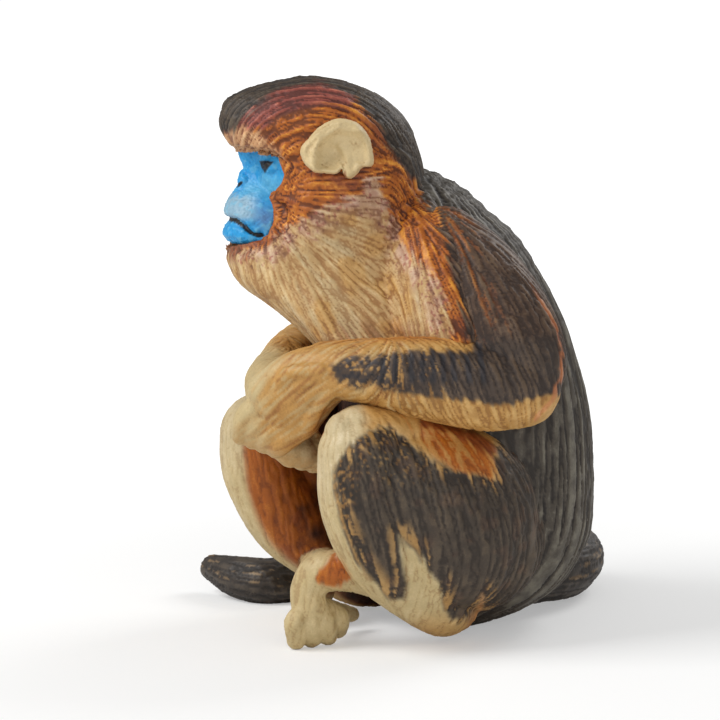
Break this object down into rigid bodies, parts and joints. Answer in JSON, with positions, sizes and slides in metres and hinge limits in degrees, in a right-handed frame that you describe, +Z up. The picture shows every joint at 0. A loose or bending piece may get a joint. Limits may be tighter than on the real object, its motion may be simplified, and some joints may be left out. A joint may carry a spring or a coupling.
{
  "type": "monkey figurine",
  "caption": "Seated snub-nosed monkey ornament with arms crossed over its knees, head turned aside and tail curled round its side, moulded in pieces that plug together.",
  "frame": {"origin": "on the plane the figure sits on, below the middle of the body between the hips", "axes": "+Z up, the figure's chest faces -Y, its left side is +X"},
  "size_m": [0.0643, 0.0703, 0.0816],
  "materials": {
    "dark_fur": "hand-painted satin, grey-brown fur grooves",
    "mane_fur": "hand-painted satin, orange to cream fur grooves",
    "face_skin": "hand-painted satin, bright blue skin",
    "ear_skin": "hand-painted satin, cream skin",
    "arm_fur": "hand-painted satin, ochre with a dark patch",
    "leg_fur": "hand-painted satin, dark brown with a cream edge",
    "tail_fur": "hand-painted satin, dark grey-brown"
  },
  "bodies": {
    "root": {"torso": "dark_fur", "head": "mane_fur", "face": "face_skin", "left_ear": "ear_skin", "right_ear": "ear_skin", "left_arm": "arm_fur", "right_arm": "arm_fur", "left_leg": "leg_fur", "right_leg": "leg_fur", "tail": "tail_fur"}
  },
  "joints": []
}
